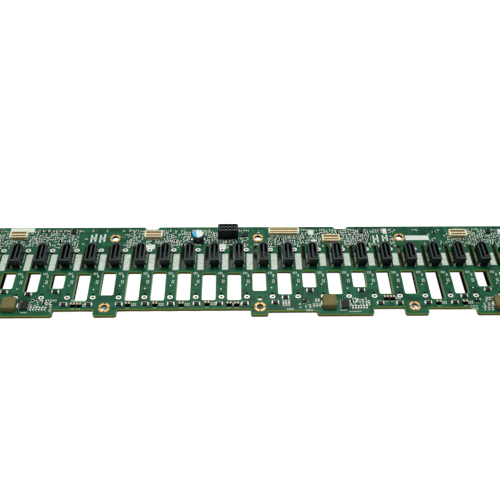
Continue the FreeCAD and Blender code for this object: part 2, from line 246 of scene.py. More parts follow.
@dataclass(frozen=True)
class Plating(Finish):
    """Thin metal plating, with patches dulled by flux and handling."""

    metallic: float = 1.0
    cloud_mm: float = 1.0
    grain_depth_mm: float = 0.008

    def extras(self, nodes: Nodes) -> Inputs:
        """Vary the roughness from patch to patch.

        Args:
            nodes: The material's nodes.

        Returns:
            The roughness.
        """
        patch = nodes.add("TexNoise", {"Vector": nodes.place, "Scale": 1 / (self.cloud_mm * MM)})
        span = {"To Min": self.roughness * 0.7, "To Max": self.roughness * 1.3}
        return {"Roughness": nodes.add("MapRange", {0: patch} | span)}


@dataclass(frozen=True)
class SolderMask(Finish):
    """Green epoxy solder mask over copper, on a laminate of woven glass.

    The mask is paler over copper and darker over bare laminate. The sawn edges are
    olive, in thin layers, and have no film over them.
    """

    edge_light: str = "#948c14"
    edge_dark: str = "#413806"
    edge_shine: float = 0.06
    face_shine: float = 0.5
    pour_mm: float = 7.0
    bundle_mm: float = 11.0
    track_mm: float = 1.1
    layer_mm: float = 0.35
    shading_mm: float = 26.0
    node: str = "board"

    def colour(self, nodes: Nodes) -> Socket:
        """Draw the mask on the faces and the laminate on the sawn edges.

        Args:
            nodes: The material's nodes.

        Returns:
            The colour.
        """
        ends = {0: self.copper(nodes), 6: linear(self.other), 7: linear(self.shade)}
        mask = nodes.add("Mix", ends, 2, data_type="RGBA")
        cloud = nodes.add("TexNoise", {"Vector": nodes.place, "Scale": 1 / (self.shading_mm * MM)})
        span = {"From Min": 0.3, "From Max": 0.7, "To Min": 0.82, "To Max": 1.12}
        level = nodes.add("MapRange", {0: cloud} | span)
        face = nodes.add("VectorMath", {0: mask, "Scale": level}, operation="SCALE")
        ends = {0: self.faces(nodes), 6: self.sawn(nodes), 7: face}
        return nodes.add("Mix", ends, 2, data_type="RGBA")

    def faces(self, nodes: Nodes) -> Socket:
        """Tell the level faces from the sawn edges.

        Args:
            nodes: The material's nodes.

        Returns:
            One on the faces and zero on the edges.
        """
        upright = nodes.add("SeparateXYZ", {0: nodes.add("NewGeometry", out="True Normal")}, 2)
        tilt = nodes.add("Math", {0: upright}, operation="ABSOLUTE")
        return nodes.add("MapRange", {0: tilt, "From Min": 0.4, "From Max": 0.6})

    def extras(self, nodes: Nodes) -> Inputs:
        """Dull the sawn edges."""
        span = {"To Min": self.edge_shine, "To Max": self.face_shine}
        return {"Specular IOR Level": nodes.add("MapRange", {0: self.faces(nodes)} | span)}

    def copper(self, nodes: Nodes) -> Socket:
        """Lay out the copper under the mask: broad pours and bundles of tracks.

        The tracks are drawn several times wider than real ones so that they show.

        Args:
            nodes: The material's nodes.

        Returns:
            One over copper and zero over bare laminate.
        """
        broad, bundle = (
            nodes.add(
                "TexVoronoi", {"Vector": nodes.place, "Scale": 1 / (size * MM)}, "Color",
                distance="CHEBYCHEV",
            )
            for size in (self.pour_mm, self.bundle_mm)
        )
        span = {"From Min": 0.3, "From Max": 0.7, "To Max": 0.7}
        pour = nodes.add("MapRange", {0: nodes.add("SeparateColor", {0: broad})} | span)
        wave = {"Vector": nodes.place, "Scale": 1 / (20 * self.track_mm * MM)}
        for channel, way in enumerate("XY", start=1):
            lines = nodes.add("TexWave", wave, "Fac", bands_direction=way)
            level = nodes.add("SeparateColor", {0: bundle}, channel)
            here = nodes.add("MapRange", {0: level, "From Min": 0.62, "From Max": 0.64})
            track = nodes.add("Math", {0: lines, 1: here}, operation="MULTIPLY")
            pour = nodes.add("Math", {0: pour, 1: track}, operation="MAXIMUM")
        return pour

    def sawn(self, nodes: Nodes) -> Socket:
        """Draw the layers of glass and resin on a sawn edge, with painted light that makes it
        palest at the top.

        Args:
            nodes: The material's nodes.

        Returns:
            The edge's colour.
        """
        squeeze = {0: nodes.place, 1: (0.05, 0.05, 1.0)}
        flat = nodes.add("VectorMath", squeeze, operation="MULTIPLY")
        grain = {"Vector": flat, "Scale": 1 / (self.layer_mm * MM), "Detail": 3.0}
        low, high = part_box(self.node)
        # Painted light: the edge is paled towards its top and darkened towards its foot.
        rise = {"From Min": low.z, "From Max": high.z, "To Min": -0.35, "To Max": 0.35}
        height = nodes.add("SeparateXYZ", {0: nodes.place}, 2)
        painted_top_light = nodes.add("MapRange", {0: height} | rise)
        total = nodes.add("Math", {0: nodes.add("TexNoise", grain), 1: painted_top_light}, operation="ADD")
        share = nodes.add("MapRange", {0: total, "From Min": 0.3, "From Max": 0.7})
        ends = {0: share, 6: linear(self.edge_dark), 7: linear(self.edge_light)}
        return nodes.add("Mix", ends, 2, data_type="RGBA")


@dataclass(frozen=True)
class LabelPaper(Finish):
    """White coated label paper with rows of faint grey print too small to read."""

    print_grey: str = "#8a9c90"
    row_mm: float = 1.3
    column_mm: float = 1.45
    gap_mm: float = 0.26

    def layers(self, nodes: Nodes) -> Iterator[tuple[str, Socket]]:
        """Draw the rows of grey marks.

        Args:
            nodes: The material's nodes.

        Yields:
            Each layer's colour and share.
        """
        rows = {
            "Vector": nodes.place, "Scale": 1.0, "Brick Width": self.column_mm * MM,
            "Row Height": self.row_mm * MM, "Mortar Size": self.gap_mm * MM,
            "Mortar Smooth": 0.3, "Color1": WHITE, "Color2": (0.35, 0.35, 0.35, 1.0),
            "Mortar": (0.0, 0.0, 0.0, 1.0),
        }
        yield self.print_grey, nodes.add("TexBrick", rows, "Color")


@dataclass(frozen=True)
class CapacitorCan(Finish):
    """Bright aluminium can with a printed blue segment, on a dark moulded base, with its side
    painted dark grey as a painted reflection.
    """

    segment: str = "#22bfe8"
    # The side's colour is a painted reflection: the bright can is drawn dark grey below its rim.
    side: str = "#3c4443"
    base: str = "#0e1212"
    segment_share: float = 0.36
    segment_slant: float = 0.18
    base_share: float = 0.19
    rim_mm: float = 0.4
    node: str = "polymer_capacitor"

    def layers(self, nodes: Nodes) -> Iterator[tuple[str, Socket]]:
        """Draw the segment on the top, the side darkened as a painted reflection, and the base.

        Args:
            nodes: The material's nodes.

        Yields:
            Each layer's colour and share.
        """
        low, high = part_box(self.node)
        x, y, z = (nodes.add("SeparateXYZ", {0: nodes.place}, axis) for axis in range(3))
        lean = {0: y, 1: self.segment_slant, 2: -self.segment_slant * (low.y + high.y) / 2}
        shift = nodes.add("Math", lean, operation="MULTIPLY_ADD")
        along = nodes.add("Math", {0: x, 1: shift}, operation="ADD")
        line = low.x + (high.x - low.x) * self.segment_share
        foot = low.z + (high.z - low.z) * self.base_share
        # The side's dark grey below the rim is a painted reflection.
        for paint, value, limit in (
            (self.segment, along, line), (self.side, z, high.z - self.rim_mm * MM),
            (self.base, z, foot),
        ):
            yield paint, nodes.add("Math", {0: value, 1: limit}, operation="LESS_THAN")


class Look(enum.Enum):
    """Every finish on the board, with the record's material slot that it stands for."""

    # A half-glossy deep green film, mottled by the copper under it, with olive sawn edges.
    MASK = SolderMask(
        "board_laminate", "green_solder_mask", "#1d6243", "#104830", 0.24, ior=1.36
    )
    # A matt yellow-green line where the mask stops short of an edge.
    BARE = Finish(
        "board_laminate", "bare_glass_laminate", "#43924a", "#5c9636", 0.6, ior=1.3, cloud_mm=4.0
    )
    # Nearly black with a soft shine, with painted highlights: thin pale lines along its moulded
    # edges and paler flat tops.
    BLACK = RoundedPlastic(
        "connector_black", "black_glass_filled_nylon", "#0c1011", "#121718", 0.42, ior=1.3
    )
    # Flat black, so that the hidden side stays dark through the windows.
    MATT = Finish("connector_black", "matt_black_polymer", "#060606", "#0c0b0a", 0.8, ior=1.03)
    # Warm cream with a soft shine.
    CREAM = Finish("connector_cream", "cream_liquid_crystal_polymer", "#f0edca", "#e0dcb2", 0.42)
    # Dark grey and even, less shiny than the connectors.
    CHIP = Finish("chip_resin", "black_chip_resin", "#171a1a", "#202323", 0.55, ior=1.3)
    # A pale silvery grey, dulled in small patches.
    TIN = Plating("contact_tin", "tin_solder", "#fafff4", "#dfe6da", 0.5, metallic=0.3)
    # An orange gold, brightest on the rings round the screw holes.
    GOLD = Plating(
        "contact_gold", "gold_flash_on_nickel", "#f4b862", "#e29d47", 0.4, metallic=0.45
    )
    # Nearly black brown: painted shade on plating deep in holes and in the header slots.
    PAINTED_SHADE = Plating("contact_gold", "shaded_plating", "#2b250c", "#1c180a", 0.7, metallic=0.3)
    # Dark reddish brown in the middle of the pads.
    PLUG = Plating("contact_gold", "flux_stained_plating", "#6f4c3a", "#523628", 0.6, metallic=0.3)
    # Darker brownish gold on the contacts.
    CONTACT = Plating(
        "contact_gold", "gold_plated_contact", "#b5853a", "#8c6229", 0.5, metallic=0.6
    )
    # Matt olive brown with a coarse grain.
    FERRITE = Finish(
        "inductor_block", "pressed_iron_powder", "#7d7648", "#65603a", 0.65, ior=1.3,
        cloud_mm=1.6, grain_depth_mm=0.04,
    )
    # Silvery white aluminium with a clear blue segment, and its side painted dark as a painted
    # reflection.
    CAN = CapacitorCan("capacitor_can", "printed_aluminium_can", "#eef3ee", "#d5ded8", 0.4)
    # A thin matt white film.
    INK = Finish("silkscreen_ink", "white_screen_ink", "#e8efe6", "#c8d7ca", 0.6, cloud_mm=0.8)
    # White paper with greyish print.
    PAPER = LabelPaper("label_paper", "printed_label_paper", "#e6eee1", "#d8e2d3", 0.55)
    # Tan fired ceramic.
    CERAMIC = Finish(
        "ceramic_body", "fired_ceramic", "#70684c", "#424034", 0.45, ior=1.35, cloud_mm=0.9
    )
    # A cream cap on the small coils.
    LENS = Finish("ceramic_body", "cream_coil_cap", "#ecdcc0", "#d8c4a2", 0.4, cloud_mm=1.2)


# ---- mesh helpers ----


def put(name: str, data: bpy.types.ID) -> bpy.types.Object:
    """Add an object to the scene.

    Args:
        name: Its name.
        data: The mesh, lamp or camera that it shows.

    Returns:
        The object.
    """
    made = bpy.data.objects.new(name, data)
    bpy.context.scene.collection.objects.link(made)
    return made


def cuboid(
    mesh: Mesh, centre: Sequence[float], size: Size, bevel: float = 0.0, taper: float = 1.0
) -> None:
    """Add a box to a mesh.

    Args:
        mesh: The mesh to add to.
        centre: The middle of the box.
        size: The lengths of its sides.
        bevel: The width of the bevel on every edge, or zero.
        taper: The top's share of the bottom's length and width.
    """
    made = bmesh.ops.create_cube(mesh, size=1.0)["verts"]
    if taper != 1.0:
        upper = [vert for vert in made if vert.co.z > 0]
        bmesh.ops.scale(mesh, vec=(taper, taper, 1.0), verts=upper)
    bmesh.ops.scale(mesh, vec=size, verts=made)
    bmesh.ops.translate(mesh, vec=Vector(centre), verts=made)
    if bevel > 0:
        edges = list({edge for vert in made for edge in vert.link_edges})
        bmesh.ops.bevel(
            mesh, geom=edges, offset=bevel, offset_type="OFFSET", affect="EDGES", segments=1,
            profile=0.5, material=-1,
        )


def disc(
    mesh: Mesh, centre: Sequence[float], radius: float, height: float,
    top_radius: float | None = None, segments: int = 16,
) -> None:
    """Add a round plate, or a cone if its top has another radius.

    Args:
        mesh: The mesh to add to.
        centre: The middle of the plate.
        radius: The radius at the low end.
        height: The length along Z.
        top_radius: The radius at the high end, if it differs.
        segments: The number of sides.
    """
    bmesh.ops.create_cone(
        mesh, cap_ends=True, segments=segments, radius1=radius,
        radius2=radius if top_radius is None else top_radius, depth=height,
        matrix=Matrix.Translation(Vector(centre)),
    )


def arc_strip(
    mesh: Mesh, centre: Vector, inner: float, outer: float, thickness: float,
    start: float = 0.0, sweep: float = FULL_TURN, steps: int = 8,
) -> None:
    """Spin a flat cross-section into a ring or a part of one.

    Args:
        mesh: The mesh to add to.
        centre: The middle of the ring, at its half height.
        inner: The inner radius.
        outer: The outer radius.
        thickness: The thickness along Z.
        start: The angle where it starts.
        sweep: The angle that it covers.
        steps: The number of pieces along it.
    """
    half = thickness / 2
    turn = Matrix.Translation(centre) @ Matrix.Rotation(start, 4, "Z")
    corners = ((inner, -half), (outer, -half), (outer, half), (inner, half))
    verts = [mesh.verts.new(turn @ Vector((radius, 0.0, height))) for radius, height in corners]
    geometry = [*verts, *(mesh.edges.new((verts[place - 1], verts[place])) for place in range(4))]
    closed = sweep == FULL_TURN
    if not closed:
        geometry.append(mesh.faces.new(verts))
    bmesh.ops.spin(
        mesh, geom=geometry, cent=centre, axis=(0.0, 0.0, 1.0), angle=sweep, steps=steps,
        use_merge=closed,
    )


Pattern = dict[Look, bpy.types.Mesh]


@dataclass
class Tray:
    """A set of meshes being filled, one for each finish, that become pieces together."""

    name: str
    meshes: dict[Look, Mesh] = field(default_factory=dict)

    def mesh(self, look: Look) -> Mesh:
        """Find or start the mesh that collects one finish.

        Args:
            look: The finish.

        Returns:
            The mesh.
        """
        if look not in self.meshes:
            self.meshes[look] = bmesh.new()
        return self.meshes[look]

    def pattern(self) -> Pattern:
        """Turn what the tray holds into shapes to stamp.

        Returns:
            One shape for each finish.
        """
        shapes: Pattern = {}
        for look, mesh in self.meshes.items():
            bmesh.ops.recalc_face_normals(mesh, faces=mesh.faces)
            shapes[look] = bpy.data.meshes.new(f"{self.name}_{look.name.lower()}_pattern")
            mesh.to_mesh(shapes[look])
            mesh.free()
        return shapes

    def stamp(self, pattern: Pattern, place: Matrix) -> None:
        """Add a placed copy of a pattern.

        Args:
            pattern: The shapes to copy.
            place: Where the copy goes.
        """
        for look, shape in pattern.items():
            copy = shape.copy()
            copy.transform(place)
            self.mesh(look).from_mesh(copy)
            bpy.data.meshes.remove(copy)

    def finish(self, smooth_angle: float = 0.0) -> None:
        """Turn every mesh into a piece that rides on the board.

        Args:
            smooth_angle: Edges flatter than this many degrees are shaded smooth.
        """
        limit = math.radians(smooth_angle)
        for look, mesh in self.meshes.items():
            name = f"{self.name}_{look.name.lower()}"
            for face in mesh.faces:
                face.smooth = smooth_angle > 0
            for edge in mesh.edges:
                edge.smooth = len(edge.link_faces) == 2 and edge.calc_face_angle() <= limit
            data = bpy.data.meshes.new(name)
            mesh.to_mesh(data)
            mesh.free()
            data.materials.append(look.value.material())
            made = put(name, data)
            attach(made, "root")
            triangles = sum(len(polygon.vertices) - 2 for polygon in data.polygons)
            LOG.info("%s: %d triangles", name, triangles)


def spread(count: int, pitch: float, middle: float = 0.0) -> Iterator[float]:
    """Yield evenly spaced places about a middle.

    Args:
        count: How many places.
        pitch: The distance between two of them.
        middle: Their middle.

    Yields:
        Each place.
    """
    for number in range(count):
        yield middle + (number - (count - 1) / 2) * pitch


def dress(node: str, look: Look) -> None:
    """Give a CAD node its finish.

    Args:
        node: The node's name.
        look: Its finish.
    """
    data = frame["nodes"][node].data
    data.materials.clear()
    data.materials.append(look.value.material())


def at(x: float, y: float, z: float, turn: float = 0.0) -> Matrix:
    """Return the matrix that moves to a point and turns about the upright axis."""
    return Matrix.Translation((x, y, z)) @ Matrix.Rotation(turn, 4, "Z")


# ---- places read from the frame ----


@dataclass(frozen=True)
class Patch:
    """A rectangle on the board, in metres."""

    x_low: float
    x_high: float
    y_low: float
    y_high: float

    @classmethod
    def under(cls, low: Vector, high: Vector, margin: float) -> "Patch":
        """Return the rectangle under a box, with a margin all round."""
        return cls(low.x - margin, high.x + margin, low.y - margin, high.y + margin)

    @classmethod
    def about(cls, x: float, y: float, width: float, depth: float) -> "Patch":
        """Return a rectangle about its middle."""
        return cls(x - width / 2, x + width / 2, y - depth / 2, y + depth / 2)

    def holds(self, x: float, y: float) -> bool:
        """Tell whether a point lies in the rectangle."""
        return self.x_low < x < self.x_high and self.y_low < y < self.y_high


@dataclass(frozen=True)
class Bay:
    """One drive bay, with the feet of its two connectors."""

    number: int
    x: float
    receptacle: Vector
    header: Vector


@dataclass(frozen=True)
class BoardPlan:
    """The places that every added piece is set out from."""

    low: Vector
    high: Vector
    bays: tuple[Bay, ...]
    windows: tuple[Patch, ...]
    screw_holes: tuple[Vector, ...]
    screw_radius: float
    plain_holes: tuple[tuple[Vector, float], ...]

    @classmethod
    def from_frame(cls) -> "BoardPlan":
        """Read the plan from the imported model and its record.

        Returns:
            The plan.
        """
        low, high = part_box("board")
        bays = []
        names = sorted(name for name in frame["nodes"] if name.startswith("signal_header_"))
        for number, name in enumerate(names, start=1):
            feet = []
            for node in (name.replace("signal_header", "drive_receptacle"), name):
                near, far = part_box(node)
                feet.append(Vector((*((near + far) / 2).xy, near.z)))
            bays.append(Bay(number, feet[0].x, *feet))
        record = frame["record"]
        windows = []
        for opening in record["physics"]["openings"]:
            near, far = opening["box_m"]
            windows.append(Patch(near[0], far[0], near[1], far[1]))
        holes = []
        plain = []
        radius = 0.0
        for mount in record["mounts"]:
            size = mount["dims"]
            if mount["kind"] == "bore":
                plain.append((Vector(mount["pos_m"]), size["r_mm"] * MM))
                continue
            radius = size["hole_r_mm"] * MM
            across = size.get("spacing_x_mm", 0.0) * MM / 2
            along = size["spacing_y_mm"] * MM / 2
            for x in sorted({-across, across}):
                for y in (-along, along):
                    holes.append(Vector((mount["pos_m"][0] + x, mount["pos_m"][1] + y, high.z)))
        return cls(low, high, tuple(bays), tuple(windows), tuple(holes), radius, tuple(plain))

    def spot(self, place: Place, height: float = 0.0) -> Vector:
        """Return a point above the top face from a place in millimetres."""
        return Vector((place[0] * MM, place[1] * MM, self.high.z + height))


# ---- the bare board ----


@dataclass
class BareBoard:
    """The laminate with its bare edges, plated rings, pads and pegs."""

    plan: BoardPlan
    film: float = 0.05 * MM
    bare_width: float = 0.4 * MM
    masked_band: Place = (-1.0 * MM, 24.0 * MM)
    lip_width: float = 0.18 * MM
    ring_width: float = 1.2 * MM
    ring_arcs: int = 4
    arc_sweep: float = math.radians(70)
    arc_start: float = math.radians(10)
    pad_spacing: float = 43.5 * MM
    pad_radius: float = 1.8 * MM
    pad_hole: float = 0.95 * MM
    pad_stretch: Place = (1.05, 0.88)
    plug_share: float = 0.6
    peg_spacing: float = 38.3 * MM
    peg_radius: float = 1.0 * MM
    peg_height: float = 0.08 * MM
    peg_taper: float = 0.9

    def build(self) -> None:
        """Dress the board and lay everything that is plated on it."""
        dress("board", Look.MASK)
        self.bare_edges()
        plated = Tray("plated")
        for hole in self.plan.screw_holes:
            self.screw_ring(plated, hole)
            self.barrel(plated, hole, self.plan.screw_radius)
        for hole, radius in self.plan.plain_holes:
            self.barrel(plated, hole, radius)
        for bay in self.plan.bays:
            for end in (-1, 1):
                self.pad(plated, bay, end)
        plated.finish(40.0)

    def bare_edges(self) -> None:
        """Lay a line of bare laminate along the edges, except round the slots.

        The mask runs right up to the slots.
        """
        bare = Tray("bare_edges")
        mesh = bare.mesh(Look.BARE)
        mesh.from_mesh(frame["nodes"]["board"].data)
        bmesh.ops.remove_doubles(mesh, verts=mesh.verts, dist=MERGE)
        walls = [face for face in mesh.faces if abs(face.normal.z) < 0.9]
        bmesh.ops.delete(mesh, geom=walls, context="FACES")
        made = bmesh.ops.inset_region(
            mesh, faces=list(mesh.faces), thickness=self.bare_width, use_boundary=True,
            use_even_offset=True,
        )
        near, far = self.masked_band
        rim = set()
        for face in made["faces"]:
            middle = face.calc_center_median()
            if not near < middle.y < far or abs(middle.x) > self.plan.bays[-1].x:
                rim.add(face)
        inside = [face for face in mesh.faces if face not in rim]
        bmesh.ops.delete(mesh, geom=inside, context="FACES")
        for vert in mesh.verts:
            on_top = vert.co.z > self.plan.low.z + self.film
            vert.co.z += self.film / 4 if on_top else -self.film / 4
        bare.finish()

    def screw_ring(self, plated: Tray, hole: Vector) -> None:
        """Lay four gold arcs round a screw hole's thin tin lip, on both faces.

        Args:
            plated: The tray that takes them.
            hole: The hole's middle on the top face.
        """
        bore = self.plan.screw_radius
        inner = bore + self.lip_width
        outer = inner + self.ring_width
        gold, tin = plated.mesh(Look.GOLD), plated.mesh(Look.TIN)
        for height, way in ((self.plan.high.z, 1), (self.plan.low.z, -1)):
            middle = Vector((hole.x, hole.y, height + way * self.film / 2))
            for number in range(self.ring_arcs):
                start = self.arc_start + number * FULL_TURN / self.ring_arcs
                arc_strip(gold, middle, inner, outer, self.film, start, self.arc_sweep)
            middle.z -= way * self.film / 4
            arc_strip(tin, middle, bore, inner, self.film / 2, steps=32)

    def barrel(self, plated: Tray, hole: Vector, radius: float) -> None:
        """Line a hole's wall with plating, coloured nearly black as painted shade.

        Args:
            plated: The tray that takes it.
            hole: A point on the hole's axis.
            radius: The hole's radius.
        """
        thickness = self.plan.high.z - self.plan.low.z
        middle = Vector((hole.x, hole.y, self.plan.high.z - thickness / 2))
        inner = radius - self.film
        # Painted shade: the wall is coloured nearly black.
        arc_strip(plated.mesh(Look.PAINTED_SHADE), middle, inner, radius, thickness, steps=32)

    def pad(self, plated: Tray, bay: Bay, end: int) -> None:
        """Lay one hold-down's pad, the solder in its hole and the peg's tip beside it.

        Args:
            plated: The tray that takes them.
            bay: The bay that it belongs to.
            end: One for the receptacle's far end and minus one for its near end.
        """
        one = Tray("pad")
        middle = Vector((0.0, 0.0, self.film / 2))
        arc_strip(
            one.mesh(Look.TIN), middle, self.pad_hole, self.pad_radius, self.film, steps=20
        )
        height, tip = self.film * self.plug_share, self.pad_hole * self.plug_share
        disc(one.mesh(Look.PLUG), middle, self.pad_hole, height, tip)
        y = bay.receptacle.y + end * self.pad_spacing / 2
        stretch = Matrix.Diagonal((*self.pad_stretch, 1.0, 1.0))
        plated.stamp(one.pattern(), at(bay.x, y, self.plan.high.z) @ stretch)
        y = bay.receptacle.y + end * self.peg_spacing / 2
        peg = Vector((bay.x, y, self.plan.high.z + self.film / 2))
        tip = self.peg_radius * self.peg_taper
        disc(plated.mesh(Look.MATT), peg, self.peg_radius, self.peg_height, tip)


# ---- connectors ----


@dataclass
class SignalHeaders:
    """The upright headers of the bays, with their contacts, tails and solder tabs."""

    plan: BoardPlan
    contacts: int = 7
    pitch: float = 1.27 * MM
    contact: Size = (0.14 * MM, 0.42 * MM, 3.2 * MM)
    contact_offset: float = 0.58 * MM
    contact_base: float = 1.6 * MM
    contact_shift: float = 0.9 * MM
    tail: Size = (0.8 * MM, 0.4 * MM, 0.16 * MM)
    tail_overlap: float = 0.1 * MM
    tail_taper: float = 0.75
    tab: Size = (0.4 * MM, 0.6 * MM, 2.2 * MM)
    tab_bevel: float = 0.08 * MM
    tab_pad: Size = (0.9 * MM, 0.9 * MM, 0.2 * MM)
    tab_pad_taper: float = 0.6

    def build(self) -> None:
        """Dress the housings and add the metal of each header."""
        tray = Tray("signal_header")
        low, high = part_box("signal_header_01")
        shape = self.metal((high.x - low.x) / 2, (high.y - low.y) / 2)
        for bay in self.plan.bays:
            dress(f"signal_header_{bay.number:02d}", Look.BLACK)
            tray.stamp(shape, Matrix.Translation(bay.header))
        tray.finish()

    def metal(self, half_width: float, half_length: float) -> Pattern:
        """Make one header's contacts, tails and tabs about its middle.

        Args:
            half_width: Half the housing's width.
            half_length: Half its length.

        Returns:
            The shapes to stamp.
        """
        one = Tray("header_metal")
        z = self.contact_base + self.contact[2] / 2
        for y in spread(self.contacts, self.pitch):
            for side in (-1, 1):
                place = (side * self.contact_offset, y + self.contact_shift, z)
                # The contacts deep in the slot are coloured nearly black as painted shade.
                cuboid(one.mesh(Look.PAINTED_SHADE), place, self.contact)
                x = side * (half_width + self.tail[0] / 2 - self.tail_overlap)
                tail = (x, y, self.tail[2] / 2)
                cuboid(one.mesh(Look.TIN), tail, self.tail, taper=self.tail_taper)
        for side in (-1, 1):
            x = side * (half_width - self.tab[0] / 2)
            y = self.tab[1] / 2 - half_length
            cuboid(one.mesh(Look.TIN), (x, y, self.tab[2] / 2), self.tab, self.tab_bevel)
            pad = (x, y, self.tab_pad[2] / 2)
            cuboid(one.mesh(Look.TIN), pad, self.tab_pad, taper=self.tab_pad_taper)
        return one.pattern()


@dataclass
class DriveReceptacles:
    """The receptacles under the board, with their rows of contacts.

    Each row has its wall's side, its first contact's place and its count.
    """

    plan: BoardPlan
    pitch: float = 1.27 * MM
    wall_offset: float = 1.0 * MM
    contact: Size = (0.24 * MM, 0.6 * MM, 4.6 * MM)
    contact_base: float = 3.4 * MM
    contact_bevel: float = 0.06 * MM
    rows: tuple[tuple[int, float, int], ...] = (
        (-1, -15.6 * MM, 15), (-1, 7.7 * MM, 7), (1, -3.9 * MM, 7),
    )

    def build(self) -> None:
        """Dress the housings and add the contacts of each receptacle."""
        one = Tray("receptacle_metal")
        for side, start, count in self.rows:
            for number in range(count):
                place = (side * self.wall_offset, start + number * self.pitch, self.contact_base)
                cuboid(one.mesh(Look.CONTACT), place, self.contact, self.contact_bevel)
        shape = one.pattern()
        tray = Tray("drive_receptacle")
        for bay in self.plan.bays:
            dress(f"drive_receptacle_{bay.number:02d}", Look.MATT)
            tray.stamp(shape, Matrix.Translation(bay.receptacle))
        tray.finish()


@dataclass
class PowerHeader:
    """The eight-way power header, its pins and their solder joints underneath."""

    plan: BoardPlan
    columns: int = 4
    rows: int = 2
    pitch: float = 3.0 * MM
    joint_radius: float = 1.0 * MM
    joint_tip: float = 0.35
    joint_height: float = 1.1 * MM

    def build(self) -> None:
        """Dress the CAD nodes and solder the pins on the far side."""
        dress("power_header_housing", Look.BLACK)
        dress("power_header_pins", Look.TIN)
        low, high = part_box("power_header_pins")
        middle = (low + high) / 2
        tray = Tray("power_header_joints")
        z = self.plan.low.z - self.joint_height / 2
        tip = self.joint_radius * self.joint_tip
        for x in spread(self.columns, self.pitch, middle.x):
            for y in spread(self.rows, self.pitch, middle.y):
                disc(tray.mesh(Look.TIN), (x, y, z), tip, self.joint_height, self.joint_radius)
        tray.finish(60.0)


@dataclass
class Mezzanines:
    """The low cream receptacles, with two rows of contacts and their feet."""

    plan: BoardPlan
    pitch: float = 0.8 * MM
    end_wall: float = 1.5 * MM
    rail_half: float = 0.5 * MM
    side_wall: float = 0.75 * MM
    floor: float = 0.7 * MM
    contact_width: float = 0.5 * MM
    contact_drop: float = 0.45 * MM
    contact_share: float = 0.86
    foot: Size = (0.36 * MM, 0.9 * MM, 0.3 * MM)
    foot_overlap: float = 0.1 * MM
    # Contact tails on the outer walls, drawn wide so that they also darken the walls as painted
    # shade.
    strip: Size = (0.5 * MM, 0.1 * MM, 2.5 * MM)

    def build(self) -> None:
        """Dress the frames and add their contacts and feet."""
        tray = Tray("mezzanine")
        for node in sorted(name for name in frame["nodes"] if name.startswith("mezzanine")):
            dress(node, Look.CREAM)
            self.metal(tray, *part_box(node))
        tray.finish()

    def metal(self, tray: Tray, low: Vector, high: Vector) -> None:
        """Fill one receptacle's two grooves with contacts and stand its feet outside.

        Args:
            tray: The tray that takes them.
            low: The receptacle's lowest corner.
            high: Its highest corner.
        """
        count = int((high.x - low.x - 2 * self.end_wall) / self.pitch)
        middle = (low + high) / 2
        groove = (high.y - low.y) / 2 - self.side_wall - self.rail_half
        depth = high.z - low.z - self.floor - self.contact_drop
        size = (self.contact_width, groove * self.contact_share, depth)
        z = high.z - self.contact_drop - depth / 2
        for x in spread(count, self.pitch, middle.x):
            for side in (-1, 1):
                y = middle.y + side * (self.rail_half + groove / 2)
                cuboid(tray.mesh(Look.CONTACT), (x, y, z), size)
                # The tails are real, but they are drawn wide so that they also darken the walls as
                # painted shade.
                wall = middle.y + side * (high.y - low.y) / 2
                strip = (x, wall, low.z + self.strip[2] / 2)
                cuboid(tray.mesh(Look.CONTACT), strip, self.strip)
                y = wall + side * (self.foot[1] / 2 - self.foot_overlap)
                cuboid(tray.mesh(Look.TIN), (x, y, low.z + self.foot[2] / 2), self.foot)


# ---- soldered parts ----


def islands(node: str) -> list[tuple[Vector, Vector]]:
    """Find the separate solids of a CAD node.

    Args:
        node: The node's name.

    Returns:
        The lowest and highest corner of each solid, from left to right.
    """
    mesh = bmesh.new()
    mesh.from_mesh(frame["nodes"][node].data)
    bmesh.ops.remove_doubles(mesh, verts=mesh.verts, dist=MERGE)
    left = set(mesh.verts)
    boxes = []
    while left:
        waiting = [left.pop()]
        found = list(waiting)
        while waiting:
            vert = waiting.pop()
            near = {edge.other_vert(vert) for edge in vert.link_edges} & left
            left -= near
            waiting.extend(near)
            found.extend(near)
        boxes.append(tuple(
            Vector(pick(vert.co[axis] for vert in found) for axis in range(3))
            for pick in (min, max)
        ))
    mesh.free()
    return sorted(boxes, key=lambda box: box[0].x)


@dataclass(frozen=True)
class EndCapPart:
    """A part with a metal cap on both ends, on two flat pads, with sizes in millimetres."""

    name: str
    body: Look
    size: Size
    cap: float
    reach: float
    pad_height: float = 0.08
    body_share: Place = (0.97, 0.95)
    pad_share: float = 1.06

    def pattern(self) -> Pattern:
        """Make the part about its middle, standing on the board.

        Returns:
            The shapes to stamp.
        """
        one = Tray(self.name)
        length, width, height = (side * MM for side in self.size)
        cap, reach = self.cap * MM, self.reach * MM
        body = (length - 2 * cap, width * self.body_share[0], height * self.body_share[1])
        cuboid(one.mesh(self.body), (0.0, 0.0, body[2] / 2), body)
        for side in (-1, 1):
            x = side * (length - cap) / 2
            cuboid(one.mesh(Look.TIN), (x, 0.0, height / 2), (cap, width, height))
            pad = (reach + cap / 2, width * self.pad_share, self.pad_height * MM)
            x = side * (length / 2 - cap / 2 + pad[0] / 2)
            cuboid(one.mesh(Look.TIN), (x, 0.0, pad[2] / 2), pad)
        return one.pattern()


